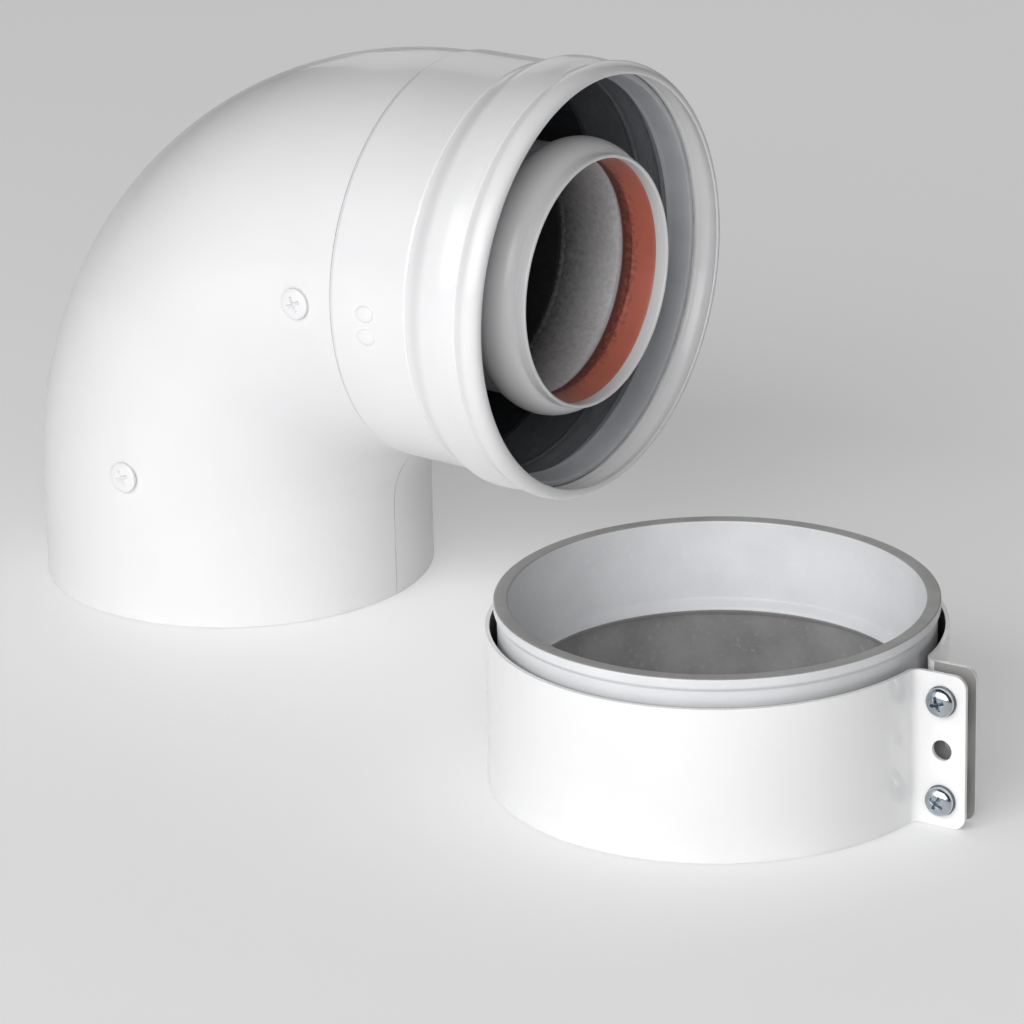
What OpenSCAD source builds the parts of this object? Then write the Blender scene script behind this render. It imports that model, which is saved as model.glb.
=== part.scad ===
// Coaxial 90 degree flue elbow, 60/100 mm, with its loose clamp and rubber sleeve.
// The origin is the centre of the outer spigot's end face, +Z runs up the spigot
// and +X is the direction in which the socket faces.

/* [Pipes] */
// Outside diameter of the outer air pipe
air_od = 100; // [90:1:110]
// Sheet thickness of the outer air pipe
air_t = 1; // [0.8:0.1:1.2]
// Outside diameter of the inner flue pipe
flue_od = 60; // [56:1:64]
// Wall thickness of the inner flue pipe
flue_t = 1; // [0.8:0.1:1.2]

/* [Bend] */
// Centreline radius of the bend
bend_r = 69.7; // [68:0.1:70]
// Straight length of the spigot below the bend
spigot_l = 24.7; // [24:0.1:27]
// Distance by which the inner spigot sits back from the outer one
flue_setback = 2; // [1:0.5:4]
// Width of the lap strip on each side of the seam
lap_w = 5; // [4:0.5:7]
// Width of the fine groove that shows along the seam
seam_gap = 0.3; // [0.2:0.1:0.4]

/* [Outer socket] */
// Length from the spigot's axis to the mouth of the outer socket
mouth_x = 115; // [113:0.5:118]
// Length from the spigot's axis to the rear edge of the socket collar
collar_x = 70; // [70:0.5:72]
// Clearance on the radius between the socket and a pipe
socket_gap = 0.25; // [0.15:0.05:0.4]
// Height of the wide bead that holds the air seal
air_bead_h = 2.5; // [2:0.1:3]
// Height of the bead behind the rim
rim_bead_h = 2.9; // [2.2:0.1:3.2]

/* [Inner socket] */
// Distance of the inner socket's mouth behind the outer one
flue_mouth_back = 1.5; // [1:0.5:4]
// Height of the bead that holds the flue seal
flue_bead_h = 3.1; // [2.6:0.1:3.6]
// Length of the bead that holds the flue seal
flue_bead_l = 12; // [10:0.5:13]
// Length of the plain lip in front of that bead
flue_lip_l = 3; // [2:0.5:4]

/* [Fasteners of the elbow] */
// Angle round the bend at which the lower side screws sit
lower_screw_angle = 11.5; // [9:0.5:14]
// Distance by which the lower side screws sit inside the bend's centreline
lower_screw_inset = 2; // [0:0.5:3]
// Angle round the bend at which the upper side screws sit
upper_screw_angle = 81.5; // [76:0.5:83]
// Diameter of the distance posts between the two pipes
post_d = 10; // [8:0.5:12]

/* [Clamp] */
// Position of the clamp's centre beside the elbow, along X
clamp_x = 180.5; // [180:0.5:190]
// Position of the clamp's centre beside the elbow, along Y
clamp_y = -51; // [-60:1:-45]
// Direction in which the clamp's ears point
clamp_turn = 3; // [0:0.5:6]
// Outside diameter of the open band
band_od = 107.8; // [107:0.2:109]
// Height of the band
band_h = 37.5; // [35:0.5:40]
// Thickness of the band
band_t = 1; // [0.8:0.1:1.2]
// Gap between the two ears
ear_gap = 5; // [4:0.5:6]
// Distance of the front ear's end from the clamp's axis
ear_reach = 66.8; // [66:0.1:69]
// Distance of the ear screws from the clamp's axis
ear_screw_u = 60.8; // [60:0.1:61.5]
// Distance between the two ear screws
ear_screw_pitch = 24.4; // [22:0.2:26]

/* [Sleeve] */
// Inside diameter of the rubber sleeve, which stretches over the pipe
sleeve_id = 97; // [96:0.5:98]
// Outside diameter of the rubber sleeve
sleeve_od = 103.8; // [103:0.2:104.4]
// Height of the rubber sleeve
sleeve_h = 44; // [42:0.5:44]
// Height of the stop rib inside the sleeve
rib_h = 2.4; // [2:0.1:3]

/* [Hidden] */
$fn = 128;

white_paint = "whitesmoke";
grey_metal = "lightgrey";
red_silicone = "sienna";
grey_rubber = "silver";
zinc = "lightsteelblue";

cut = 1;                                   // how far a cutter runs past a face
axis_h = spigot_l + bend_r;                // height of the socket's axis
air_r = air_od / 2;
flue_r = flue_od / 2;
stub_end = collar_x + 9;                   // end of the shells inside the collar
flue_stub_end = collar_x + 12;             // end of the inner pipe in its socket

// Outer socket, as distances along its axis and radii of its outer face
collar_t = 0.7;
collar_rear_r = air_r + collar_t;
collar_front_r = air_r + socket_gap + collar_t;
bead_start_x = mouth_x - 22.6;
bead_crest_x = mouth_x - 15.5;
groove_x = mouth_x - 7;
rim_crest_x = mouth_x - 3.6;
rim_r = air_r + 0.55;                      // inner edge of the rolled mouth

// Inner socket
flue_mouth_x = mouth_x - flue_mouth_back;
flue_rear_r = flue_r + flue_t;
flue_front_r = flue_r + socket_gap + flue_t;
flue_bead_end = flue_mouth_x - flue_lip_l;
flue_bead_start = flue_bead_end - flue_bead_l;

// Side screws, and the places of the pair nearest each end as [angle, inset]
lower_spot = [lower_screw_angle, lower_screw_inset];
upper_spot = [upper_screw_angle, 0];
side_head_r = 3.9;
side_head_h = 1.9;
side_shank_r = 1.9;
side_shank_l = 12;
side_hole_r = 2;
post_r = post_d / 2;
post_top = sqrt(pow(air_r - air_t, 2) - pow(post_r, 2)) - 0.05;

// Clamp
band_ro = band_od / 2;
band_ri = band_ro - band_t;
band_rm = band_ro - band_t / 2;
fold_r = 2.6;                              // radius of the fold between band and ear
ear_v = ear_gap / 2 + band_t / 2;          // middle plane of an ear
fold_v = ear_v + fold_r;
fold_u = sqrt(pow(band_rm + fold_r, 2) - pow(fold_v, 2));
fold_angle = atan2(fold_v, fold_u);
ear_corner_r = 3;
back_ear_extra = -0.5;
ear_hole_r = 2.25;
spare_hole_r = 2.5;
screw_shank_r = 1.95;
screw_head_r = 3.4;
screw_head_h = 2.4;
screw_l = 14;
washer_r = 3.9;
washer_t = 0.6;
nut_across_corners = 8.1;
nut_h = 3.2;
nut_hole_r = 2;
front_face_v = -(ear_gap / 2 + band_t);
back_face_v = ear_gap / 2 + band_t;
upper_ear_z = band_h / 2 + ear_screw_pitch / 2;
lower_ear_z = band_h / 2 - ear_screw_pitch / 2;
sleeve_ri = sleeve_id / 2;
sleeve_ro = sleeve_od / 2;
rib_l = 2;

// Smooth rise from 0 to 1 as s goes from 0 to 1
function ease(s) = s <= 0 ? 0 : s >= 1 ? 1 : (1 - cos(180 * s)) / 2;

// Outer radius of the outer socket at the distance x along its axis
function collar_r(x) =
    x <= stub_end ? collar_rear_r :
    x <= stub_end + 1 ? collar_rear_r + socket_gap * ease(x - stub_end) :
    x <= bead_crest_x ?
        collar_front_r + air_bead_h * ease((x - bead_start_x) / (bead_crest_x - bead_start_x)) :
    x <= groove_x ?
        collar_front_r + air_bead_h
            - 0.8 * pow(ease((x - bead_crest_x) / (groove_x - bead_crest_x)), 3) :
    x <= rim_crest_x ?
        collar_front_r + air_bead_h - 0.8
            + (rim_bead_h - air_bead_h + 0.8) * ease((x - groove_x) / (rim_crest_x - groove_x)) :
    rim_r + collar_t + (collar_front_r + rim_bead_h - rim_r - collar_t)
        * sqrt(max(0, 1 - pow((x - rim_crest_x) / (mouth_x - rim_crest_x), 2)));

// Outer radius of the inner socket at the distance x along its axis
function flue_socket_r(x) =
    x <= flue_stub_end ? flue_rear_r :
    x <= flue_stub_end + 1 ? flue_rear_r + socket_gap * ease(x - flue_stub_end) :
    x <= flue_bead_start ? flue_front_r :
    x <= flue_bead_end ?
        flue_front_r + flue_bead_h * sqrt(sin(180 * (x - flue_bead_start) / flue_bead_l)) :
    flue_front_r;

// Stations along each socket, close together where the profile curves
collar_stations = concat(
    [collar_x, stub_end, stub_end + 0.5, stub_end + 1],
    [for (i = [0:7]) bead_start_x + (bead_crest_x - bead_start_x) * i / 8],
    [for (i = [0:7]) bead_crest_x + (groove_x - bead_crest_x) * i / 8],
    [for (i = [0:7]) groove_x + (rim_crest_x - groove_x) * i / 8],
    [for (i = [0:8]) rim_crest_x + (mouth_x - rim_crest_x) * sin(90 * i / 8)]
);
flue_stations = concat(
    [collar_x + 4, flue_stub_end, flue_stub_end + 0.5, flue_stub_end + 1],
    [for (i = [0:16]) flue_bead_start + flue_bead_l * (1 - cos(180 * i / 16)) / 2],
    [flue_mouth_x]
);

function backwards(list) = [for (i = [len(list) - 1:-1:0]) list[i]];

// Puts what is drawn along +Z onto the socket's axis, along +X
module along_socket() {
    translate([0, 0, axis_h]) rotate([0, 90, 0]) children();
}

// Ring of the plane profile between two radii
module ring(r_out, r_in) {
    difference() {
        circle(r_out);
        circle(r_in);
    }
}

module tube(r_out, r_in, l) {
    difference() {
        cylinder(h = l, r = r_out);
        translate([0, 0, -cut]) cylinder(h = l + 2 * cut, r = r_in);
    }
}

// Sweeps a plane profile round the bend. Its y runs along the part's y.
module sweep_bend() {
    translate([bend_r, 0, spigot_l]) rotate([90, 0, 180])
        rotate_extrude(angle = 90) translate([bend_r, 0]) children();
}

// Sweeps a plane profile up the spigot, round the bend and on into the socket
module sweep_elbow(from_z, to_x) {
    translate([0, 0, from_z]) linear_extrude(spigot_l - from_z) children();
    sweep_bend() children();
    translate([bend_r, 0, axis_h]) rotate([0, 90, 0])
        linear_extrude(to_x - bend_r) children();
}

// One half of the outer ring: side -1 is the front, +1 the back
module half_ring(side) {
    intersection() {
        ring(air_r, air_r - air_t);
        translate([-air_od, side > 0 ? seam_gap / 2 : -air_od - seam_gap / 2])
            square([2 * air_od, air_od]);
    }
}

// The strip behind each seam, on which the front half is lapped
module lap_strips() {
    intersection() {
        ring(air_r - air_t, air_r - 2 * air_t);
        translate([-air_od, -lap_w]) square([2 * air_od, 2 * lap_w]);
    }
}

// Places children on a side screw's axis, with +Z pointing outwards from the pipe
module at_side(side, spot) {
    r = bend_r - spot[1];
    translate([bend_r - r * cos(spot[0]), 0, spigot_l + r * sin(spot[0])])
        rotate([-side * 90, 0, 0]) children();
}

module side_holes(side) {
    for (spot = [lower_spot, upper_spot])
        at_side(side, spot) cylinder(h = air_r + 10, r = side_hole_r);
}

module outer_shell_front() {
    color(white_paint) difference() {
        sweep_elbow(0, stub_end) half_ring(-1);
        side_holes(-1);
    }
}

module outer_shell_back() {
    color(white_paint) difference() {
        sweep_elbow(0, stub_end) union() {
            half_ring(1);
            lap_strips();
        }
        side_holes(1);
    }
}

// Revolves a wall of constant thickness under the radii that a list of points gives
module spun_wall(points, t) {
    rotate_extrude() polygon(concat(
        points,
        [for (p = backwards(points)) [p[0] - t, p[1]]]
    ));
}

module socket_collar() {
    color(white_paint) along_socket()
        spun_wall([for (x = collar_stations) [collar_r(x), x]], collar_t);
}

// Lip seal that lies in the wide bead, drawn as it is when a pipe presses it back
module air_seal() {
    seal_l = 9;
    seal_back = groove_x - seal_l - 0.6;
    seal_ri = air_r + socket_gap + 0.05;
    seal_ro = collar_front_r + air_bead_h - 0.8 - collar_t - 0.1;
    color(grey_rubber) along_socket() translate([0, 0, seal_back]) rotate_extrude()
        polygon([
            [seal_ri, 0], [seal_ro - 0.9, 0], [seal_ro, 3], [seal_ro, seal_l],
            [seal_ri, seal_l], [seal_ri, seal_l - 2], [seal_ri + 0.5, seal_l - 3],
            [seal_ri + 0.5, 3], [seal_ri, 2]
        ]);
}

module inner_bend() {
    color(grey_metal) sweep_elbow(flue_setback, flue_stub_end) ring(flue_r, flue_r - flue_t);
}

module inner_socket() {
    color(white_paint) along_socket()
        spun_wall([for (x = flue_stations) [flue_socket_r(x), x]], flue_t);
}

// Silicone seal in the inner socket's bead, drawn as a pipe presses it back
module flue_seal() {
    seal_l = flue_bead_l - 2;
    seal_ri = flue_r + socket_gap + 0.05;
    seal_ro = flue_front_r + flue_bead_h - flue_t - 0.4;
    lip_l = 2.8;
    color(red_silicone) along_socket()
        translate([0, 0, flue_bead_start + 1]) rotate_extrude()
        polygon([
            [seal_ri, 0], [seal_ro - 1.7, 0], [seal_ro - 0.7, 1.2], [seal_ro, 3],
            [seal_ro, seal_l - 3], [seal_ro - 0.7, seal_l - 1.2], [seal_ro - 1.7, seal_l],
            [seal_ri, seal_l], [seal_ri, lip_l + 1], [seal_ri + 0.6, lip_l + 0.4],
            [seal_ri + 0.6, lip_l - 0.4], [seal_ri, lip_l - 1]
        ]);
}

// Post that keeps the two pipes coaxial and takes a side screw
module post(side, spot) {
    color(grey_metal) difference() {
        at_side(side, spot) difference() {
            translate([0, 0, flue_r - 1]) cylinder(h = post_top - flue_r + 1, r = post_r);
            translate([0, 0, flue_r + 3]) cylinder(h = post_top, r = side_hole_r);
        }
        sweep_bend() circle(flue_r + 0.05);
    }
}

// Cross recess, cut from the top of a head that ends at height z
module cross_recess(z, depth, reach, w) {
    for (turn = [0, 90])
        translate([0, 0, z - depth]) rotate([0, 0, turn])
            translate([-reach, -w / 2, 0]) cube([2 * reach, w, depth + cut]);
}

// Screw with a pan head, its seat at the height 0 and its shank along -Z
module pan_screw(head_r, head_h, shank_r, shank_l) {
    dome_h = head_h * 0.45;
    difference() {
        union() {
            translate([0, 0, -shank_l]) cylinder(h = shank_l + 0.1, r = shank_r);
            cylinder(h = head_h - dome_h, r = head_r);
            translate([0, 0, head_h - dome_h])
                cylinder(h = dome_h, r1 = head_r, r2 = head_r * 0.62);
        }
        cross_recess(head_h, head_h * 0.6, head_r * 0.55, head_r * 0.22);
    }
}

module side_screw(side, spot) {
    color(white_paint) at_side(side, spot)
        translate([0, 0, air_r + 0.02]) rotate([0, 0, 25])
            pan_screw(side_head_r, side_head_h, side_shank_r, side_shank_l);
}

// Places children in the clamp's frame: x along the ears, y across their gap
module at_clamp() {
    translate([clamp_x, clamp_y, 0]) rotate([0, 0, clamp_turn]) children();
}

// Sector of a plane between two angles, less than 180 degrees apart
module sector(from_angle, to_angle, reach) {
    polygon([
        [0, 0],
        reach * [cos(from_angle), sin(from_angle)],
        reach * [cos(to_angle), sin(to_angle)]
    ]);
}

// The fold and the flat ear at the back end of the band. The fold is a hair thinner
// than the band and runs a little way into the ring and the ear.
module back_end(reach) {
    bite = 0.2;
    bite_angle = bite / fold_r * 180 / PI;
    fold_t = band_t - 0.04;
    translate([fold_u, fold_v]) linear_extrude(band_h) intersection() {
        ring(fold_r + fold_t / 2, fold_r - fold_t / 2);
        sector(180 + fold_angle - bite_angle, 270 + bite_angle, 4 * fold_r);
    }
    translate([fold_u - bite, ear_v - band_t / 2, 0])
        cube([reach - fold_u + bite, band_t, band_h]);
}

// Rounds the two outer corners of the ear that ends at the distance reach
module ear_corner_cuts(reach, v) {
    for (top = [0, 1])
        translate([reach, v, top * band_h]) mirror([0, 0, top]) rotate([90, 0, 0])
            linear_extrude(band_t + 2 * cut, center = true) difference() {
                translate([-ear_corner_r, -cut])
                    square([ear_corner_r + cut, ear_corner_r + cut]);
                translate([-ear_corner_r, ear_corner_r]) circle(ear_corner_r);
            }
}

module ear_axis_hole(z, r) {
    translate([ear_screw_u, -ear_gap - cut, z]) rotate([-90, 0, 0])
        cylinder(h = 2 * (ear_gap + cut), r = r);
}

// Painted strip bent into an open ring, with an ear folded out at each end
module clamp_band() {
    color(white_paint) at_clamp() difference() {
        union() {
            linear_extrude(band_h) difference() {
                ring(band_ro, band_ri);
                sector(-fold_angle, fold_angle, 2 * band_ro);
            }
            back_end(ear_reach + back_ear_extra);
            mirror([0, 1, 0]) back_end(ear_reach);
        }
        ear_corner_cuts(ear_reach, -ear_v);
        ear_corner_cuts(ear_reach + back_ear_extra, ear_v);
        ear_axis_hole(upper_ear_z, ear_hole_r);
        ear_axis_hole(lower_ear_z, ear_hole_r);
        ear_axis_hole(band_h / 2, spare_hole_r);
    }
}

// Rubber sleeve with a groove near each end and a stop rib half way up inside
module clamp_sleeve() {
    edge = 0.6;
    groove_z = 3.2;
    groove_w = 0.8;
    mid = sleeve_h / 2;
    color(grey_rubber) at_clamp() rotate_extrude()
        polygon([
            [sleeve_ri + edge, 0], [sleeve_ro - edge, 0], [sleeve_ro, edge],
            [sleeve_ro, groove_z - groove_w], [sleeve_ro - groove_w, groove_z],
            [sleeve_ro - groove_w, sleeve_h - groove_z],
            [sleeve_ro, sleeve_h - groove_z + groove_w],
            [sleeve_ro, sleeve_h - edge], [sleeve_ro - edge, sleeve_h],
            [sleeve_ri + edge, sleeve_h], [sleeve_ri, sleeve_h - edge],
            [sleeve_ri, mid + rib_l / 2 + 1], [sleeve_ri - rib_h, mid + rib_l / 2 - 0.5],
            [sleeve_ri - rib_h, mid - rib_l / 2 + 0.5], [sleeve_ri, mid - rib_l / 2 - 1],
            [sleeve_ri, edge]
        ]);
}

// Places children on an ear screw's axis, with +Z pointing out of the front ear
module at_ear(z, v) {
    at_clamp() translate([ear_screw_u, v, z]) rotate([90, 0, 0]) children();
}

module clamp_screw(z, turn) {
    color(zinc) at_ear(z, front_face_v - washer_t - 0.05) rotate([0, 0, turn])
        pan_screw(screw_head_r, screw_head_h, screw_shank_r, screw_l);
}

module clamp_washer(z) {
    color(zinc) at_ear(z, front_face_v - 0.03) tube(washer_r, ear_hole_r, washer_t);
}

module clamp_nut(z) {
    color(zinc) at_ear(z, back_face_v + nut_h) difference() {
        cylinder(h = nut_h, d = nut_across_corners, $fn = 6);
        translate([0, 0, -cut]) cylinder(h = nut_h + 2 * cut, r = nut_hole_r);
    }
}

outer_shell_front();
outer_shell_back();
socket_collar();
air_seal();
inner_bend();
inner_socket();
flue_seal();
post(-1, upper_spot);  // post_front_upper
post(-1, lower_spot);  // post_front_lower
post(1, upper_spot);  // post_back_upper
post(1, lower_spot);  // post_back_lower
side_screw(-1, upper_spot);  // side_screw_front_upper
side_screw(-1, lower_spot);  // side_screw_front_lower
side_screw(1, upper_spot);  // side_screw_back_upper
side_screw(1, lower_spot);  // side_screw_back_lower
clamp_band();
clamp_sleeve();
clamp_screw(upper_ear_z, 20);  // clamp_screw_upper
clamp_screw(lower_ear_z, 60);  // clamp_screw_lower
clamp_washer(upper_ear_z);  // clamp_washer_upper
clamp_washer(lower_ear_z);  // clamp_washer_lower
clamp_nut(upper_ear_z);  // clamp_nut_upper
clamp_nut(lower_ear_z);  // clamp_nut_lower
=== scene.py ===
# The looks of a coaxial 60/100 mm flue elbow with its loose clamp and rubber sleeve.
# Shapes are worked out in millimetres, as in the CAD, and new_piece turns them into metres.
# The camera, the lights and the distances inside materials are in metres.
import math
from collections import namedtuple

import bmesh
import bpy
from mathutils import Matrix, Vector


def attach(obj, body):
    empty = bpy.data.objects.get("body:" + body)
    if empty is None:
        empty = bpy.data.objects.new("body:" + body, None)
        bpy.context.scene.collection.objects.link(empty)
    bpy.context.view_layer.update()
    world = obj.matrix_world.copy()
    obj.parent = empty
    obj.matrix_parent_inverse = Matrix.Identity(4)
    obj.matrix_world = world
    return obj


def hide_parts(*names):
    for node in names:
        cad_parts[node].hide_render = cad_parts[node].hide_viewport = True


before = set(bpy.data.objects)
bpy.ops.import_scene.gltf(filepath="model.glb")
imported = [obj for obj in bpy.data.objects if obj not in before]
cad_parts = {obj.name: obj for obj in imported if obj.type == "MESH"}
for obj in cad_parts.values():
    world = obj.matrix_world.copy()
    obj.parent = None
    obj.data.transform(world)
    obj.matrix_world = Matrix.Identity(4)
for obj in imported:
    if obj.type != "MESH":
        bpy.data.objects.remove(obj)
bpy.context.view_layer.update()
MM = 0.001

# ------------------------------------------------------------------ sizes, as in the CAD
# The two pipes: r is to the outside, x runs along the mouth's axis from the spigot's axis.
SPIGOT_L = 24.7
BEND_R = 69.7
AXIS_H = SPIGOT_L + BEND_R                 # height of the mouth's axis
AIR_R = 50.0
FLUE_R = 30.0
SOCKET_GAP = 0.25                          # room round a pipe that is pushed into a socket
MOUTH_X = 115.0

# The outer socket: a plain collar, a wide bead, a groove and a rolled rim.
COLLAR_X = 70.0
COLLAR_T = 0.7
COLLAR_REAR_R = AIR_R + COLLAR_T
COLLAR_FRONT_R = AIR_R + SOCKET_GAP + COLLAR_T
BEAD_START_X = MOUTH_X - 22.6
BEAD_CREST_X = MOUTH_X - 15.5
GROOVE_X = MOUTH_X - 7
RIM_CREST_X = MOUTH_X - 3.6
RIM_R = AIR_R + 0.55
AIR_BEAD_H = 2.5
GROOVE_DROP = 0.8
RIM_BEAD_H = 2.9

# The inner socket: a sleeve over the bend's end, then one round bead.
FLUE_T = 1.0
FLUE_MOUTH_X = MOUTH_X - 1.5
FLUE_REAR_R = FLUE_R + FLUE_T
FLUE_FRONT_R = FLUE_R + SOCKET_GAP + FLUE_T
FLUE_SOCKET_X = COLLAR_X + 4
FLUE_STUB_END = COLLAR_X + 12              # end of the inner bend in its socket
FLUE_BEAD_L = 12.0
FLUE_BEAD_H = 3.1
FLUE_BEAD_END = FLUE_MOUTH_X - 3
FLUE_BEAD_START = FLUE_BEAD_END - FLUE_BEAD_L

# The clamp: u and v run along and across the ears from the band's centre.
CLAMP_X, CLAMP_Y, CLAMP_TURN = 180.5, -51.0, math.radians(3)
BAND_H = 37.5
BAND_T = 1.0
BAND_MIDDLE_R = 53.3                       # a circle inside the thickness of the band's strip
EAR_ROOT_U = 56.0                          # faces beyond this count as the ears
EAR_GAP = 5.0
EAR_SCREW_U = 60.8
EAR_SCREW_PITCH = 24.4
WASHER_T = 0.6
WASHER_HOLE_R = 2.25
NUT_H = 3.2
NUT_ACROSS_CORNERS = 8.1
NUT_HOLE_R = 2.0
SLEEVE_RI = 48.5
SLEEVE_RO = 51.9
SLEEVE_H = 44.0
RIB_H = 2.4
RIB_L = 2.0

# The side screws: degrees round the bend, and how far inside its centre line each one stands.
SCREW_SPOTS = {"lower": (11.5, 2.0), "upper": (81.5, 0.0)}

# ------------------------------------------------------------------ sizes of this scene's own
# The heads and the washers differ from the CAD's by up to 0.5 mm, after the photo.
WASHER_R = 3.7
Screw = namedtuple("Screw", "head_r head_h dome_h shank_r length pitch thread_depth "
                            "cross_reach cross_half_w cross_wall cross_depth")
SIDE_SCREW = Screw(head_r=3.9, head_h=1.4, dome_h=0.7, shank_r=1.9, length=12, pitch=1.2,
                   thread_depth=0.3, cross_reach=2.1, cross_half_w=0.5, cross_wall=0.5,
                   cross_depth=0.9)
EAR_SCREW = Screw(head_r=3.5, head_h=2.4, dome_h=1.7, shank_r=1.95, length=13.7, pitch=0.7,
                  thread_depth=0.28, cross_reach=1.9, cross_half_w=0.5, cross_wall=0.5,
                  cross_depth=1.3)
COLLAR_EDGE_L, COLLAR_EDGE_DROP = 1.1, 0.45      # the collar's rear edge, rolled down
LINE_DEPTH, LINE_HALF_W = 0.3, 0.28              # the fine lines pressed round the collar
SITTING_GAP = 0.02                               # under a screw's head or a pip
WASHER_GAP = 0.03                                # between the ear and the washer
HEAD_GAP = 0.05                                  # from ear to head, less the washer's thickness
TURNS = 192                                      # facets round a spun piece
SCREW_TURNS = 96
NUT_TURNS = 144
PIP_TURNS = 40

# ------------------------------------------------------------------ camera
CAMERA_AZIMUTH = math.radians(35.436)
CAMERA_ELEVATION = math.radians(20.539)
CAMERA_ROLL = math.radians(-1.195)
CAMERA_AT = Vector((0.82441, -1.03702, 0.50634))
CAMERA_LENS = 191.83
CAMERA_SENSOR = 36
CAMERA_CLIP = (0.05, 50)


def add_camera():
    ca, sa = math.cos(CAMERA_AZIMUTH), math.sin(CAMERA_AZIMUTH)
    ce, se = math.cos(CAMERA_ELEVATION), math.sin(CAMERA_ELEVATION)
    back = Vector((sa * ce, -ca * ce, se))
    right = Vector((ca, sa, 0))
    up = back.cross(right)
    cr, sr = math.cos(CAMERA_ROLL), math.sin(CAMERA_ROLL)
    axes = (right * cr + up * sr, up * cr - right * sr, back)
    data = bpy.data.cameras.new("camera")
    data.sensor_width = CAMERA_SENSOR
    data.lens = CAMERA_LENS
    data.clip_start, data.clip_end = CAMERA_CLIP
    camera = bpy.data.objects.new("camera", data)
    camera.matrix_world = Matrix.Translation(CAMERA_AT) @ Matrix(axes).transposed().to_4x4()
    bpy.context.scene.collection.objects.link(camera)
    bpy.context.scene.camera = camera


# ------------------------------------------------------------------ materials
class Look:
    """A new material with a Principled shader, and short calls that add nodes to it."""

    def __init__(self, name, **inputs):
        self.material = bpy.data.materials.new(name)
        self.material.use_nodes = True
        self.tree = self.material.node_tree
        self.shader = self.tree.nodes["Principled BSDF"]
        for key, value in inputs.items():
            self.shader.inputs[key.replace("_", " ")].default_value = value
        self.where = self.tree.nodes.new("ShaderNodeTexCoord").outputs["Object"]

    def link(self, source, target):
        self.tree.links.new(source, target)

    def combine(self, operation, a, b):
        node = self.tree.nodes.new("ShaderNodeMath")
        node.operation = operation
        self.link(a, node.inputs[0])
        self.link(b, node.inputs[1])
        return node.outputs[0]

    def noise(self, scale, detail, stretch=None):
        node = self.tree.nodes.new("ShaderNodeTexNoise")
        node.inputs["Scale"].default_value = scale
        node.inputs["Detail"].default_value = detail
        source = self.where
        if stretch:
            mapping = self.tree.nodes.new("ShaderNodeMapping")
            mapping.inputs["Scale"].default_value = stretch
            self.link(source, mapping.inputs["Vector"])
            source = mapping.outputs["Vector"]
        self.link(source, node.inputs["Vector"])
        return node.outputs["Fac"]

    def ramp(self, source, low, shade, high, light):
        """The colour shade where the source is at low or under it, and light from high up."""
        node = self.tree.nodes.new("ShaderNodeValToRGB")
        for element, at, color in zip(node.color_ramp.elements, (low, high), (shade, light)):
            element.position = at
            element.color = (*color, 1)
        self.link(source, node.inputs["Fac"])
        return node.outputs["Color"]

    def remap(self, source, low, high, out_low, out_high):
        node = self.tree.nodes.new("ShaderNodeMapRange")
        for key, value in (("From Min", low), ("From Max", high),
                           ("To Min", out_low), ("To Max", out_high)):
            node.inputs[key].default_value = value
        self.link(source, node.inputs["Value"])
        return node.outputs["Result"]

    def along_x(self, low, high, ragged):
        """0 to 1 between two places along X in metres, with an edge made ragged by noise."""
        split = self.tree.nodes.new("ShaderNodeSeparateXYZ")
        self.link(self.where, split.inputs[0])
        shift = self.remap(self.noise(scale=900, detail=6), 0.25, 0.75, -ragged, ragged)
        return self.remap(self.combine("ADD", split.outputs["X"], shift), low, high, 0.0, 1.0)

    def mix(self, factor, a, b):
        """From a to b; each is a colour or the output of a node."""
        node = self.tree.nodes.new("ShaderNodeMix")
        node.data_type = "RGBA"
        self.link(factor, node.inputs["Factor"])
        color_a, color_b, color_out = node.inputs[6], node.inputs[7], node.outputs[2]
        for value, socket in ((a, color_a), (b, color_b)):
            if isinstance(value, tuple):
                socket.default_value = (*value, 1)
            else:
                self.link(value, socket)
        return color_out

    def occlusion(self, distance):
        node = self.tree.nodes.new("ShaderNodeAmbientOcclusion")
        node.samples = 8
        node.inputs["Distance"].default_value = distance
        return node.outputs["AO"]

    def bump(self, source, distance, strength, below=None):
        node = self.tree.nodes.new("ShaderNodeBump")
        node.inputs["Distance"].default_value = distance
        node.inputs["Strength"].default_value = strength
        self.link(source, node.inputs["Height"])
        if below:
            self.link(below, node.inputs["Normal"])
        return node.outputs["Normal"]

    def finish(self, color, roughness=None, normal=None):
        for value, key in ((color, "Base Color"), (roughness, "Roughness"), (normal, "Normal")):
            if value is not None:
                self.link(value, self.shader.inputs[key])
        return self.material


def paint_look(name, light, shade, dirt_and_painted_shade, coat=0.2):
    """Gloss powder coat: orange peel, faint clouds in the tone, and where surfaces meet a dirt
    colour that is partly dust and partly painted shade.
    """
    look = Look(name, IOR=1.45, Coat_Weight=coat, Coat_Roughness=0.05)
    tone = look.ramp(look.noise(scale=22, detail=4), 0.35, shade, 0.65, light)
    # Painted shade: the occlusion puts the dirt colour into creases and where parts meet, and noise
    # breaks it into patches.
    dust_and_painted_shade = look.remap(look.occlusion(0.004), 0.2, 0.62, 1.0, 0.0)
    patchy = look.remap(look.noise(scale=160, detail=5), 0.4, 0.75, 0.0, 1.0)
    color = look.mix(look.combine("MULTIPLY", dust_and_painted_shade, patchy), tone, dirt_and_painted_shade)
    # A range of roughness that ran across 0.28 showed as blotches with hard edges.
    roughness = look.remap(look.noise(scale=75, detail=6), 0.3, 0.7, 0.30, 0.36)
    peel = look.bump(look.noise(scale=420, detail=2), distance=0.00004, strength=0.5)
    grit = look.bump(look.noise(scale=2600, detail=1), distance=0.000008, strength=0.35,
                     below=peel)
    return look.finish(color, roughness, grit)


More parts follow.
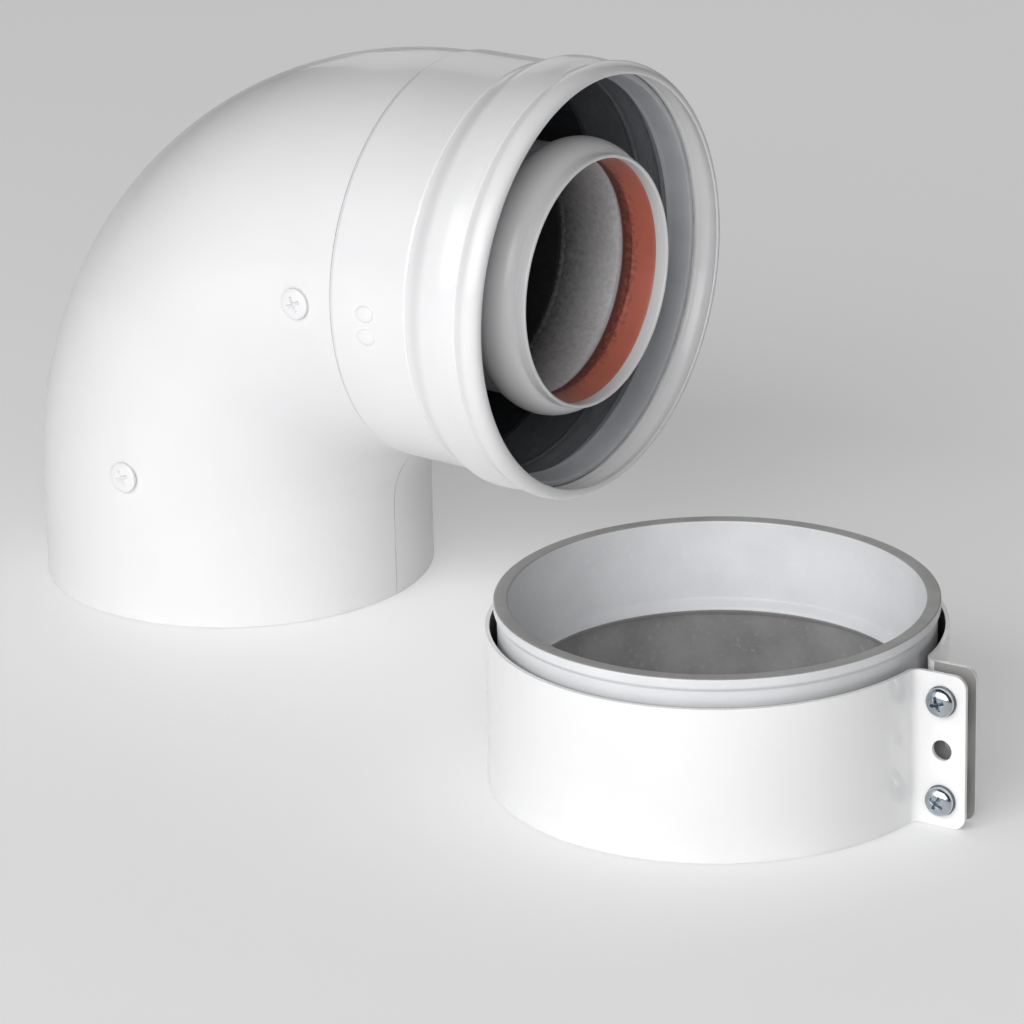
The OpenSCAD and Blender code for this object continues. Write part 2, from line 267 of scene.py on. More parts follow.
def metal_look(name, light, shade, roughness, stretch, metallic=1.0):
    """Rolled or plated metal: streaks along the drawing direction and uneven gloss."""
    look = Look(name, Metallic=metallic)
    streaks = look.noise(scale=260, detail=5, stretch=stretch)
    color = look.ramp(streaks, 0.3, shade, 0.7, light)
    gloss = look.remap(look.noise(scale=140, detail=4), 0.3, 0.7, *roughness)
    return look.finish(color, gloss, look.bump(streaks, distance=0.00002, strength=0.4))


def flue_look(name, light, shade, deep, deep_x, light_x):
    """Aluminium of the flue socket: painted shade, the colour deep, up to deep_x, and the plain
    aluminium tones from light_x on.
    """
    look = Look(name, Metallic=0.3)
    streaks = look.noise(scale=260, detail=5, stretch=(1, 8, 1))
    tone = look.ramp(streaks, 0.3, shade, 0.7, light)
    color = look.mix(look.along_x(deep_x, light_x, ragged=0.002), deep, tone)
    gloss = look.remap(look.noise(scale=140, detail=4), 0.3, 0.7, 0.5, 0.65)
    return look.finish(color, gloss, look.bump(streaks, distance=0.00002, strength=0.3))


def rubber_look(name, light, shade, roughness, sheen=0.15, dust=None, painted_shade_rear=None):
    """Moulded rubber: fine grain, mottled tone, a dry bloom, and if asked dust or a rear darkened
    with painted shade.
    """
    look = Look(name, IOR=1.48, Sheen_Weight=sheen, Sheen_Roughness=0.5)
    color = look.ramp(look.noise(scale=90, detail=5), 0.32, shade, 0.68, light)
    if dust:
        specks = look.remap(look.noise(scale=700, detail=3), 0.58, 0.72, 0.0, 0.6)
        color = look.mix(specks, color, dust)
    # Painted shade: the rear of the piece darker, deep in its socket.
    if painted_shade_rear:
        painted_shade_color, rear_x, front_x = painted_shade_rear
        color = look.mix(look.along_x(rear_x, front_x, ragged=0.0016), painted_shade_color, color)
    gloss = look.remap(look.noise(scale=230, detail=4), 0.3, 0.7, *roughness)
    grain = look.bump(look.noise(scale=1500, detail=4), distance=0.00004, strength=0.45)
    waves = look.bump(look.noise(scale=60, detail=2), distance=0.00015, strength=0.2, below=grain)
    return look.finish(color, gloss, waves)


# In each call: the light tone, the shaded tone, then the colour of dirt and painted shade in
# creases, roughness or what else it takes.
WHITE = paint_look("white_powder_coat", (0.81, 0.81, 0.815), (0.78, 0.78, 0.79),
                   (0.50, 0.48, 0.45))
SCREW_WHITE = paint_look("white_screw_coat", (0.81, 0.81, 0.815), (0.78, 0.78, 0.79),
                         (0.72, 0.72, 0.73))
BAND_WHITE = paint_look("band_powder_coat", (0.86, 0.86, 0.86), (0.82, 0.82, 0.825),
                        (0.58, 0.56, 0.53), coat=0.8)
# Painted shade: a near-black sheet inside the air pipe, where the light does not reach.
INSIDE_PAINTED_SHADE = metal_look("inside_of_air_pipe_painted_shade", (0.06, 0.064, 0.07), (0.035, 0.037, 0.042),
                    (0.5, 0.7), (1, 1, 6), metallic=0.2)
# Painted shade: a dark grey inside the collar, behind the seal.
COLLAR_INSIDE_PAINTED_SHADE = metal_look("inside_of_collar_painted_shade", (0.20, 0.21, 0.225), (0.15, 0.157, 0.17),
                           (0.4, 0.6), (6, 1, 1), metallic=0.2)
# Painted shade on the faces of the ears that look into the gap between them.
BAND_EAR_GAP_PAINTED_SHADE = paint_look("band_painted_shade_between_ears", (0.40, 0.395, 0.385), (0.34, 0.335, 0.325),
                       (0.25, 0.24, 0.23))
# Painted shade: dark grey metal inside the band, in the gap round the sleeve.
BAND_INSIDE_PAINTED_SHADE = metal_look("inside_of_band_painted_shade", (0.16, 0.15, 0.145), (0.10, 0.095, 0.09),
                         (0.45, 0.65), (1, 1, 5), metallic=0.2)
# Aluminium with painted shade: near black deep in the socket, where little light gets in.
FLUE_ALUMINIUM_PAINTED_SHADE = flue_look("flue_socket_aluminium_painted_shade", (0.92, 0.92, 0.94), (0.84, 0.84, 0.86),
                           (0.03, 0.031, 0.033), deep_x=0.080, light_x=0.100)
ALUMINIUM = metal_look("flue_aluminium", (0.62, 0.63, 0.65), (0.50, 0.51, 0.53),
                       (0.34, 0.5), (1, 8, 1))
# Painted shade: near-black aluminium deep inside the flue bend, where no light reaches.
DEEP_ALUMINIUM_PAINTED_SHADE = metal_look("inside_of_flue_bend_painted_shade", (0.032, 0.033, 0.035), (0.02, 0.021, 0.022),
                            (0.55, 0.7), (1, 8, 1), metallic=0.2)
ZINC = metal_look("blue_zinc_plating", (0.56, 0.61, 0.65), (0.36, 0.40, 0.44),
                  (0.16, 0.26), (1, 1, 1))
# Painted shade: the washers dark grey, as the shadow ring round each ear screw's head.
WASHER_ZINC_PAINTED_SHADE = metal_look("washer_zinc_painted_shade", (0.20, 0.21, 0.23), (0.13, 0.14, 0.15),
                       (0.4, 0.55), (1, 1, 1))
# The seal's dark rear is painted shade, deep inside the inner socket.
SILICONE = rubber_look("red_silicone", (0.60, 0.17, 0.115), (0.50, 0.14, 0.095),
                       (0.36, 0.5), sheen=0.1,
                       painted_shade_rear=((0.16, 0.05, 0.04), (FLUE_BEAD_END - 8.6) * MM,
                             (FLUE_BEAD_END - 5.2) * MM))
EPDM = rubber_look("grey_lip_rubber", (0.55, 0.56, 0.59), (0.49, 0.50, 0.53), (0.42, 0.6))
SLEEVE = rubber_look("sleeve_rubber", (0.74, 0.75, 0.77), (0.69, 0.70, 0.72),
                     (0.34, 0.5), dust=(0.77, 0.77, 0.78))
# Painted shade: the bore below the stop rib darker, where the rib keeps the light off.
SLEEVE_PAINTED_SHADE = rubber_look("sleeve_rubber_low_painted_shade", (0.28, 0.275, 0.275), (0.20, 0.195, 0.195),
                          (0.45, 0.6), dust=(0.32, 0.31, 0.31))
SLEEVE_TRIM = rubber_look("sleeve_cut_edge", (0.39, 0.385, 0.38), (0.33, 0.325, 0.32),
                          (0.5, 0.65), dust=(0.44, 0.43, 0.42))

# ------------------------------------------------------------------ mesh building
ALONG_SOCKET = Matrix.Translation((0, 0, AXIS_H)) @ Matrix.Rotation(math.pi / 2, 4, "Y")
AT_CLAMP = Matrix.Translation((CLAMP_X, CLAMP_Y, 0)) @ Matrix.Rotation(CLAMP_TURN, 4, "Z")


def new_piece(name, rows, materials, place, body, replaces=(), closed_rows=True,
              material_of_row=None, sharp=40):
    """A piece from rows of points in mm; each row is a closed ring, and rows join in order.

    With closed_rows the last row joins the first, and without it both ends are capped.
    """
    mesh = bmesh.new()
    to_world = Matrix.Scale(MM, 4) @ place
    rings = [[mesh.verts.new(to_world @ Vector(p)) for p in row] for row in rows]
    last = len(rings) if closed_rows else len(rings) - 1
    for i in range(last):
        a, b = rings[i], rings[(i + 1) % len(rings)]
        for j in range(len(a)):
            k = (j + 1) % len(a)
            face = mesh.faces.new((a[j], a[k], b[k], b[j]))
            face.material_index = material_of_row(i) if material_of_row else 0
    if not closed_rows:
        mesh.faces.new(rings[0][::-1])
        mesh.faces.new(rings[-1])
    bmesh.ops.recalc_face_normals(mesh, faces=mesh.faces)
    finish_piece(name, mesh, materials, body, replaces, sharp)


def finish_piece(name, mesh, materials, body, replaces, sharp):
    """The object for a mesh in metres, smooth except at edges of more than sharp degrees."""
    data = bpy.data.meshes.new(name)
    for edge in mesh.edges:
        edge.smooth = not (len(edge.link_faces) == 2
                           and edge.calc_face_angle(0) > math.radians(sharp))
    for face in mesh.faces:
        face.smooth = True
    mesh.to_mesh(data)
    mesh.free()
    for material in materials:
        data.materials.append(material)
    piece = bpy.data.objects.new(name, data)
    bpy.context.scene.collection.objects.link(piece)
    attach(piece, body)
    if replaces:
        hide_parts(*replaces)
    return piece


def ring(r, z, turns=TURNS):
    """A level ring of points round +Z."""
    return [(r * math.cos(2 * math.pi * j / turns), r * math.sin(2 * math.pi * j / turns), z)
            for j in range(turns)]


def spin(profile, turns=TURNS):
    """Rows for a closed profile of (radius, height) points turned round +Z."""
    return [ring(r, z, turns) for r, z in profile]


def sheet_profile(line, t, cap_steps=6):
    """Closed profile of a sheet t thick under a line of points, with rounded ends."""
    normals = []
    for i in range(len(line)):
        a, b = line[max(i - 1, 0)], line[min(i + 1, len(line) - 1)]
        d = Vector((b[0] - a[0], b[1] - a[1])).normalized()
        normals.append(Vector((d.y, -d.x)))      # points outwards where the line runs along +z
    outer = [Vector(p) for p in line]
    inner = [p - n * t for p, n in zip(outer, normals)]

    def cap(end, normal, ahead):
        middle = outer[end] - normal * t / 2
        return [middle + (normal * math.cos(a) + ahead * math.sin(a)) * t / 2
                for a in (math.pi * i / cap_steps for i in range(1, cap_steps))]

    first, last = normals[0], normals[-1]
    ahead = Vector((-last.y, last.x))
    behind = Vector((first.y, -first.x))
    start_cap = cap(0, first, behind)
    return [*outer, *cap(-1, last, ahead), *reversed(inner), *reversed(start_cap)]


def rounded(points, radius, steps=4):
    """A closed profile with each corner rounded by up to radius."""
    most_of_side = 0.45
    out = []
    n = len(points)
    for i in range(n):
        p = Vector(points[i])
        a, b = Vector(points[i - 1]) - p, Vector(points[(i + 1) % n]) - p
        cut_back = min(radius, a.length * most_of_side, b.length * most_of_side)
        a, b = p + a.normalized() * cut_back, p + b.normalized() * cut_back
        for s in range(steps + 1):
            t = s / steps
            out.append((1 - t) ** 2 * a + 2 * t * (1 - t) * p + t * t * b)
    return out


def ease(s):
    """0 up to 0 and 1 from 1 on, with a half cosine wave between."""
    s = min(max(s, 0.0), 1.0)
    return (1 - math.cos(math.pi * s)) / 2


def steps_between(start, end, count):
    """Evenly spaced places from start, without end."""
    return [start + (end - start) * i / count for i in range(count)]


# ------------------------------------------------------------------ the two sockets
def pressed_line(x, at):
    """Depth at x of the fine line that the rolling tool leaves round the collar."""
    return LINE_DEPTH * math.exp(-((x - at) / LINE_HALF_W) ** 2)


def collar_radius(x):
    """Outer radius of the outer socket at the distance x along its axis."""
    if x <= BEAD_START_X:
        widening = SOCKET_GAP * (x - COLLAR_X) / (BEAD_START_X - COLLAR_X)
        rolled = COLLAR_EDGE_DROP * (1 - ease((x - COLLAR_X) / COLLAR_EDGE_L))
        return COLLAR_REAR_R + widening - rolled - pressed_line(x, BEAD_START_X)
    if x <= BEAD_CREST_X:
        rise = ease((x - BEAD_START_X) / (BEAD_CREST_X - BEAD_START_X))
        return COLLAR_FRONT_R + AIR_BEAD_H * rise - pressed_line(x, BEAD_START_X)
    crest_r = COLLAR_FRONT_R + AIR_BEAD_H
    if x <= GROOVE_X:
        fall = ease((x - BEAD_CREST_X) / (GROOVE_X - BEAD_CREST_X)) ** 3
        return crest_r - GROOVE_DROP * fall - pressed_line(x, GROOVE_X)
    rim_crest_r = COLLAR_FRONT_R + RIM_BEAD_H
    if x <= RIM_CREST_X:
        rise = ease((x - GROOVE_X) / (RIM_CREST_X - GROOVE_X))
        step = (rim_crest_r - crest_r + GROOVE_DROP) * rise
        return crest_r - GROOVE_DROP + step - pressed_line(x, GROOVE_X)
    curl = 1 - ((x - RIM_CREST_X) / (MOUTH_X - RIM_CREST_X)) ** 2
    edge_r = RIM_R + COLLAR_T
    return edge_r + (rim_crest_r - edge_r) * math.sqrt(max(0.0, curl))


def flue_socket_radius(x):
    """Outer radius of the inner socket at the distance x along its axis."""
    if x <= FLUE_BEAD_START or x >= FLUE_BEAD_END:
        return FLUE_REAR_R + SOCKET_GAP * ease(x - FLUE_STUB_END)
    wave = math.sin(math.pi * (x - FLUE_BEAD_START) / FLUE_BEAD_L)
    return FLUE_FRONT_R + FLUE_BEAD_H * math.sqrt(wave)


def mouth_row_of(profile):
    """The row at the mouth: rows after it are on the inside of the sheet."""
    return max(range(len(profile)), key=lambda i: profile[i][1])


def build_collar():
    edge_end = COLLAR_X + 1.2
    painted_shade_end = GROOVE_X - 1.5
    curl_steps = 24
    curl = [RIM_CREST_X + (MOUTH_X - RIM_CREST_X) * math.sin(math.pi / 2 * i / curl_steps)
            for i in range(curl_steps + 1)]
    # Stations along the axis, closer together where the radius changes.
    stations = [*steps_between(COLLAR_X, edge_end, 10), edge_end, COLLAR_X + 8, COLLAR_X + 16,
                *steps_between(BEAD_START_X - 1, BEAD_START_X + 1, 20),
                *steps_between(BEAD_START_X + 1, BEAD_CREST_X, 30),
                *steps_between(BEAD_CREST_X, GROOVE_X - 1, 24),
                *steps_between(GROOVE_X - 1, GROOVE_X + 1, 20),
                *steps_between(GROOVE_X + 1, RIM_CREST_X, 14), *curl]
    profile = sheet_profile([(collar_radius(x), x) for x in stations], COLLAR_T)
    mouth_row = mouth_row_of(profile)

    # Rows inside the collar, up to the groove, take the dark painted shade material.
    def bare_with_painted_shade(row):
        return int(row > mouth_row and profile[row][1] < painted_shade_end)

    new_piece("collar_shell", spin(profile), [WHITE, COLLAR_INSIDE_PAINTED_SHADE], ALONG_SOCKET,
              "elbow", ["socket_collar"], material_of_row=bare_with_painted_shade)


def build_flue_socket():
    bead_steps = 48
    bead = [FLUE_BEAD_START + FLUE_BEAD_L * (1 - math.cos(math.pi * i / bead_steps)) / 2
            for i in range(bead_steps + 1)]
    stations = [FLUE_SOCKET_X, FLUE_SOCKET_X + 0.1, FLUE_STUB_END - 0.1,
                *steps_between(FLUE_STUB_END, FLUE_STUB_END + 1, 6), FLUE_STUB_END + 1,
                FLUE_BEAD_START - 0.3, *bead, FLUE_BEAD_END + 0.3, FLUE_MOUTH_X - 0.5]
    profile = sheet_profile([(flue_socket_radius(x), x) for x in stations], FLUE_T)
    mouth_row = mouth_row_of(profile)

    # Rows behind the bead, and inside up to the bead's end, take the aluminium that is painted near
    # black deep in the socket.
    def bare_with_painted_shade(row):
        x = profile[row][1]
        return int(x < FLUE_BEAD_START - 1 or row > mouth_row and x < FLUE_BEAD_END)

    new_piece("flue_socket_shell", spin(profile), [WHITE, FLUE_ALUMINIUM_PAINTED_SHADE], ALONG_SOCKET,
              "elbow", ["inner_socket"], material_of_row=bare_with_painted_shade)


# ------------------------------------------------------------------ the rubber
def build_air_seal():
    """The outer lip seal as it is when no pipe presses it back."""
    back = GROOVE_X - 9.6
    front = back + 8.8
    outside = COLLAR_FRONT_R + AIR_BEAD_H - GROOVE_DROP - COLLAR_T - 0.15
    outline = [(AIR_R + 0.9, back), (outside - 0.5, back), (outside, back + 3), (outside, front),
               (AIR_R + 0.45, front), (AIR_R + 0.2, back + 7.2), (AIR_R - 0.1, back + 3.4),
               (AIR_R - 0.5, back + 2.2), (AIR_R + 0.3, back + 1.4)]
    new_piece("air_lip_seal", spin(rounded(outline, radius=0.3)), [EPDM], ALONG_SOCKET,
              "elbow", ["air_seal"])


def build_flue_seal():
    """The inner lip seal as it is when no pipe presses it back."""
    back = FLUE_BEAD_START + 1.6
    front = FLUE_BEAD_END - 0.25
    outside = FLUE_FRONT_R + FLUE_BEAD_H - FLUE_T - 0.2
    outline = [(FLUE_R + 0.35, back), (outside - 2.1, back), (outside - 0.8, back + 1.2),
               (outside - 0.1, back + 3), (outside - 0.1, front - 3.4),
               (outside - 0.8, front - 1.5), (outside - 2.1, front),
               (FLUE_R + 0.3, front), (FLUE_R + 0.1, front - 0.9),
               (FLUE_R - 0.35, front - 5.6), (FLUE_R - 0.65, front - 6.6),
               (FLUE_R - 0.15, front - 7.3), (FLUE_R - 0.3, back + 1)]
    new_piece("flue_lip_seal", spin(rounded(outline, radius=0.35)), [SILICONE],
              ALONG_SOCKET, "elbow", ["flue_seal"])


def build_sleeve():
    """The sleeve, with a raised rim at each end and a stop rib half way up its bore."""
    mid = SLEEVE_H / 2
    rim_l, rim_h = 3.2, 0.8
    rib_foot, rib_tip = RIB_L / 2 + 1, RIB_L / 2 - 0.5
    cut_edge = 0.2
    outline = [(SLEEVE_RI, 0), (SLEEVE_RO, 0), (SLEEVE_RO, rim_l - rim_h),
               (SLEEVE_RO - rim_h, rim_l), (SLEEVE_RO - rim_h, SLEEVE_H - rim_l),
               (SLEEVE_RO, SLEEVE_H - rim_l + rim_h), (SLEEVE_RO, SLEEVE_H),
               (SLEEVE_RI, SLEEVE_H), (SLEEVE_RI, mid + rib_foot),
               (SLEEVE_RI - RIB_H, mid + rib_tip), (SLEEVE_RI - RIB_H, mid - rib_tip),
               (SLEEVE_RI, mid - rib_foot)]
    profile = rounded(outline, radius=0.5, steps=5)

    def rubber_of(row):
        """0 for the skin, 1 for the cut edges, 2 for the bore below the rib, which takes painted
        shade.
        """
        near, far = profile[row], profile[(row + 1) % len(profile)]
        r, z = (near[0] + far[0]) / 2, (near[1] + far[1]) / 2
        if abs(z - mid) > mid - cut_edge:
            return 1
        return 2 if r < SLEEVE_RO - 1 and z < mid else 0

    new_piece("rubber_sleeve", spin(profile), [SLEEVE, SLEEVE_TRIM, SLEEVE_PAINTED_SHADE],
              AT_CLAMP, "sleeve", ["clamp_sleeve"], material_of_row=rubber_of)


# ------------------------------------------------------------------ copies of CAD shapes
def softened(node, name, materials, body, edge_w, material_of_face=None):
    """A copy of a CAD node with its sharp edges rounded over, but not those along the seam."""
    sharp = math.radians(30)
    seam_half_w = 0.3
    same_point = 2e-6
    mesh = bmesh.new()
    mesh.from_mesh(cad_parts[node].data)
    bmesh.ops.remove_doubles(mesh, verts=mesh.verts, dist=same_point)
    edges = [e for e in mesh.edges if len(e.link_faces) == 2
             and e.calc_face_angle(0) > sharp
             and max(abs(v.co.y) for v in e.verts) > seam_half_w * MM]
    bmesh.ops.bevel(mesh, geom=edges, offset=edge_w * MM, offset_type="OFFSET", segments=2,
                    profile=0.5, affect="EDGES", clamp_overlap=True)
    if material_of_face:
        for face in mesh.faces:
            face.material_index = material_of_face(face)
    piece = finish_piece(name, mesh, materials, body, [node], sharp=35)
    weighted = piece.modifiers.new("weighted_normals", "WEIGHTED_NORMAL")
    weighted.keep_sharp = True


def band_side(face):
    """1 for a face of the band that looks at the sleeve, 2 for one between the ears; both numbers
    pick painted shade.
    """
    facing = 0.5                                 # least cosine for a face to look at something
    p = AT_CLAMP.inverted() @ (face.calc_center_median() / MM)
    n = AT_CLAMP.inverted().to_3x3() @ face.normal
    if p.x > EAR_ROOT_U:
        between = abs(p.y) < EAR_GAP / 2 + 0.3
        return 2 if between and n.y * p.y < -facing * abs(p.y) else 0
    away = Vector((p.x, p.y, 0))
    return int(away.length < BAND_MIDDLE_R and n.dot(away) < -facing * away.length)


def inside_with_painted_shade(outer_r, socket_x):
    """A test for the faces of a bent pipe that lie inside it or inside its socket; these take the
    dark painted shade material.
    """
    facing = 0.3
    skin, nearly_through = 0.5, 0.95             # depths under the outside of a 1 mm sheet

    def test(face):
        p = face.calc_center_median() / MM
        if p.z < SPIGOT_L:
            centre = Vector((0, 0, p.z))
        elif p.x > BEND_R:
            centre = Vector((p.x, 0, AXIS_H))
        else:
            out = Vector((p.x - BEND_R, 0, p.z - SPIGOT_L)).normalized()
            centre = Vector((BEND_R, 0, SPIGOT_L)) + out * BEND_R
        away = p - centre
        inward = face.normal.dot(away) < -facing * away.length
        deep = away.length < outer_r - nearly_through
        under_skin = away.length < outer_r - skin
        return int(p.x > socket_x or under_skin and (inward or deep))

    return test


# ------------------------------------------------------------------ screws, washers and nuts
def cross_cut(x, y, screw):
    """Depth of the tapered cross recess at a point of a screw's head."""
    reach, half_w = screw.cross_reach, screw.cross_half_w
    edge = min(max(abs(x) - reach, abs(y) - half_w), max(abs(y) - reach, abs(x) - half_w))
    return screw.cross_depth * ease(-edge / screw.cross_wall)


def head_rows(screw):
    """Rows from the rim of a domed head to its middle, with a cross recess."""
    rim_steps, rim_rows = 24, 14                 # closer together towards the rim
    middle_rows, middle_r = 40, 0.02
    radii = [screw.head_r * math.cos(math.pi / 2 * i / rim_steps) for i in range(rim_rows)]
    inner = radii[-1]
    radii += [inner * (1 - i / middle_rows) + middle_r * i / middle_rows
              for i in range(1, middle_rows + 1)]
    rows = []
    for r in radii:
        fall = 1 - math.sqrt(max(0.0, 1 - (r / screw.head_r) ** 2))
        top = screw.head_h - screw.dome_h * fall
        rows.append([(x, y, z - cross_cut(x, y, screw))
                     for x, y, z in ring(r, top, SCREW_TURNS)])
    return rows


def thread_rows(screw):
    """Rows down a threaded shank, from under the head to a small chamfer at its end."""
    rows_per_pitch = 8
    chamfer_r, chamfer_l = 0.35, 0.3
    depth, pitch = screw.thread_depth, screw.pitch
    rows = []
    count = int(screw.length / pitch * rows_per_pitch)
    for i in range(count + 1):
        z = -screw.length * i / count
        fade = ease((screw.length + z) / (2 * pitch)) * ease(-z / pitch)
        row = []
        for j in range(SCREW_TURNS):
            phase = (z / pitch - j / SCREW_TURNS) % 1
            cut_in = depth * (1 - abs(2 * phase - 1)) * fade + depth * (1 - fade)
            r = screw.shank_r - cut_in
            a = 2 * math.pi * j / SCREW_TURNS
            row.append((r * math.cos(a), r * math.sin(a), z))
        rows.append(row)
    rows.append(ring(screw.shank_r - depth - chamfer_r, -screw.length - chamfer_l, SCREW_TURNS))
    return rows


def build_screw(name, screw, place, material, body, node):
    """A screw with its head's seat at z = 0 of place, and its head on the +Z side."""
    edge_r, edge_h = 0.15, 0.12                  # the rounding under the head's rim
    seat = spin([(screw.head_r - edge_r, 0), (screw.head_r, edge_h)], SCREW_TURNS)
    rows = [*reversed(thread_rows(screw)), *seat, *head_rows(screw)]
    new_piece(name, rows, [material], place, body, [node], closed_rows=False, sharp=50)


def at_side(side, spot):
    """Place on a side screw's axis, with +Z pointing out of the pipe."""
    angle, inset = math.radians(spot[0]), spot[1]
    r = BEND_R - inset
    return (Matrix.Translation((BEND_R - r * math.cos(angle), 0, SPIGOT_L + r * math.sin(angle)))
            @ Matrix.Rotation(-side * math.pi / 2, 4, "X"))


def build_side_screws():
    out_of_pipe = Matrix.Translation((0, 0, AIR_R + SITTING_GAP))
    cross_turn = Matrix.Rotation(math.radians(25), 4, "Z")
    for side, side_name in ((-1, "front"), (1, "back")):
        for level, spot in SCREW_SPOTS.items():
            build_screw(f"pan_screw_{side_name}_{level}", SIDE_SCREW,
                        at_side(side, spot) @ out_of_pipe @ cross_turn, SCREW_WHITE,
                        "elbow", f"side_screw_{side_name}_{level}")


def at_ear(z, v):
    """Place on an ear screw's axis, with +Z pointing out of the front ear."""
    return AT_CLAMP @ Matrix.Translation((EAR_SCREW_U, v, z)) @ Matrix.Rotation(math.pi / 2, 4, "X")


def hexagon(half_flats, z, limit):
    """A level hexagon of points with its corners cut off at the radius limit."""
    sixth = math.pi / 3
    row = []
    for j in range(NUT_TURNS):
        a = 2 * math.pi * j / NUT_TURNS
        r = min(half_flats / math.cos(((a % sixth) - math.pi / 6)), limit)
        row.append((r * math.cos(a), r * math.sin(a), z))
    return row


def nut_rows():
    """Closed rows round a hexagon nut with chamfered corners and a chamfered hole."""
    half_flats = NUT_ACROSS_CORNERS / 2 * math.cos(math.pi / 6)
    face_r = half_flats - 0.05
    corner_h, corner_slope, corner_steps = 0.62, 0.95, 6
    hole_l, hole_r = 0.4, NUT_HOLE_R + 0.35      # the hole's chamfer

    def corner(i, z):
        return hexagon(half_flats, z, half_flats + corner_h * i / corner_steps * corner_slope)

    rows = [ring(NUT_HOLE_R, hole_l, NUT_TURNS), ring(hole_r, 0, NUT_TURNS),
            hexagon(half_flats, 0, face_r)]
    rows += [corner(i, corner_h * i / corner_steps) for i in range(1, corner_steps + 1)]
    rows += [corner(i, NUT_H - corner_h * i / corner_steps) for i in range(corner_steps, 0, -1)]
    rows += [hexagon(half_flats, NUT_H, face_r), ring(hole_r, NUT_H, NUT_TURNS),
             ring(NUT_HOLE_R, NUT_H - hole_l, NUT_TURNS)]
    return rows


def build_ear_fasteners():
    front_v = -(EAR_GAP / 2 + BAND_T)
    back_v = EAR_GAP / 2 + BAND_T
    washer = rounded([(WASHER_HOLE_R, 0), (WASHER_R, 0), (WASHER_R, WASHER_T),
                      (WASHER_HOLE_R, WASHER_T)], radius=0.15, steps=3)
    for level, sign, cross_turn in (("upper", 1, 20), ("lower", -1, 60)):
        z = BAND_H / 2 + sign * EAR_SCREW_PITCH / 2
        place = (at_ear(z, front_v - WASHER_T - HEAD_GAP)
                 @ Matrix.Rotation(math.radians(cross_turn), 4, "Z"))
        build_screw(f"ear_screw_{level}", EAR_SCREW, place, ZINC,
                    f"{level}_screw", f"clamp_screw_{level}")
        new_piece(f"ear_washer_{level}", spin(washer, SCREW_TURNS), [WASHER_ZINC_PAINTED_SHADE],
                  at_ear(z, front_v - WASHER_GAP), f"{level}_washer",
                  [f"clamp_washer_{level}"])
        new_piece(f"ear_nut_{level}", nut_rows(), [ZINC], at_ear(z, back_v + NUT_H),
                  "clamp", [f"clamp_nut_{level}"], sharp=25)


# ------------------------------------------------------------------ the pips
def build_pips():
    """Two plain raised pips pressed into the collar."""
    middle_x, half_along, half_around, height = 80.6, 2.6, 2.1, 0.7
    row_count, full_count = 8, 7.4               # the top is a small flat, short of a full dome
    squareness = 0.6
    for i, degrees in enumerate((0.4, -6.2)):
        middle = math.radians(degrees)
        rows = []
        for k in range(row_count):
            t = math.pi / 2 * k / full_count
            reach = math.cos(t)
            r = COLLAR_REAR_R + SITTING_GAP + height * math.sin(t) ** squareness
            row = []
            for j in range(PIP_TURNS):
                a = 2 * math.pi * j / PIP_TURNS
                tilt = middle + half_around * reach * math.sin(a) / COLLAR_REAR_R
                row.append((middle_x + half_along * reach * math.cos(a), -r * math.cos(tilt),
                            AXIS_H + r * math.sin(tilt)))
            rows.append(row)
        new_piece(f"pip_{i + 1}", rows, [WHITE], Matrix.Identity(4), "elbow",
                  closed_rows=False)


# ------------------------------------------------------------------ floor and light
def add_floor():
    half_side = 6
    just_under = -0.0002                         # so that it shares no face with the object
    mesh = bmesh.new()
    bmesh.ops.create_grid(mesh, x_segments=1, y_segments=1, size=half_side)
    data = bpy.data.meshes.new("floor")
    mesh.to_mesh(data)
    mesh.free()
    floor = bpy.data.objects.new("floor", data)
    floor.location = (0, 0, just_under)
    bpy.context.scene.collection.objects.link(floor)
    look = Look("pale_floor", Roughness=0.7, Emission_Color=(1, 1, 1, 1), Emission_Strength=0.28)
    data.materials.append(look.finish(look.ramp(look.noise(scale=3, detail=2),
                                                0.3, (0.66, 0.66, 0.66), 0.7, (0.69, 0.69, 0.69))))


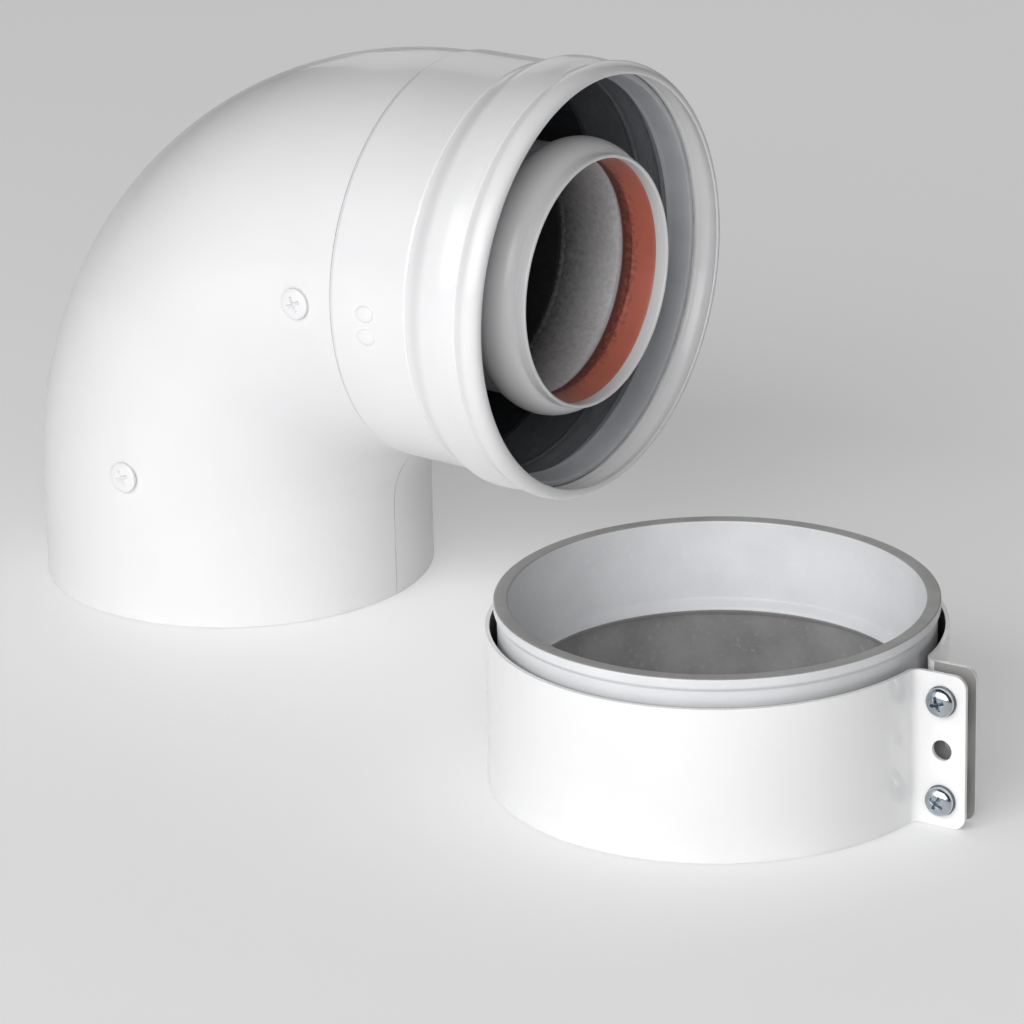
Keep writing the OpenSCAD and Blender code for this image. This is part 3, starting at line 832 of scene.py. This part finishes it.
def add_world():
    world = bpy.data.worlds.new("studio")
    world.use_nodes = True
    background = world.node_tree.nodes["Background"]
    background.inputs["Color"].default_value = (1, 1, 1, 1)
    background.inputs["Strength"].default_value = 0.05
    bpy.context.scene.world = world
    bpy.context.scene.view_settings.view_transform = "Standard"


def add_light(name, at, look_at, size, power):
    data = bpy.data.lights.new(name, "AREA")
    data.shape = "RECTANGLE"
    data.size, data.size_y = size
    data.energy = power
    light = bpy.data.objects.new(name, data)
    light.location = at
    light.rotation_euler = (Vector(look_at) - Vector(at)).to_track_quat("-Z", "Y").to_euler()
    bpy.context.scene.collection.objects.link(light)


# ------------------------------------------------------------------ the scene
add_camera()
build_collar()
build_flue_socket()
build_air_seal()
build_flue_seal()
build_sleeve()
build_side_screws()
build_ear_fasteners()
build_pips()
# The dark material inside the shells is painted shade.
for side in ("front", "back"):
    softened(f"outer_shell_{side}", f"shell_{side}", [WHITE, INSIDE_PAINTED_SHADE], "elbow",
             edge_w=0.12, material_of_face=inside_with_painted_shade(AIR_R, COLLAR_X + 1))
    for level in SCREW_SPOTS:
        softened(f"post_{side}_{level}", f"distance_post_{side}_{level}", [ALUMINIUM],
                 "elbow", edge_w=0.2)
# The band takes painted shade inside the ring and between its ears.
softened("clamp_band", "band_strip", [BAND_WHITE, BAND_INSIDE_PAINTED_SHADE, BAND_EAR_GAP_PAINTED_SHADE], "clamp",
         edge_w=0.15, material_of_face=band_side)
# The inside of the flue bend takes the painted shade.
softened("inner_bend", "flue_bend", [ALUMINIUM, DEEP_ALUMINIUM_PAINTED_SHADE], "elbow",
         edge_w=0.12, material_of_face=inside_with_painted_shade(FLUE_R, FLUE_SOCKET_X))

add_floor()
add_world()
centre = (0.09, -0.02, 0.06)
add_light("key", at=(0.25, -1.43, 0.79), look_at=centre, size=(1.8, 1.2), power=26)
add_light("mouth", at=(1.3, -1.3, 0.7), look_at=centre, size=(0.7, 0.7), power=3.3)
add_light("back", at=(-0.7, 1.7, 0.75), look_at=centre, size=(1.6, 1.0), power=6)
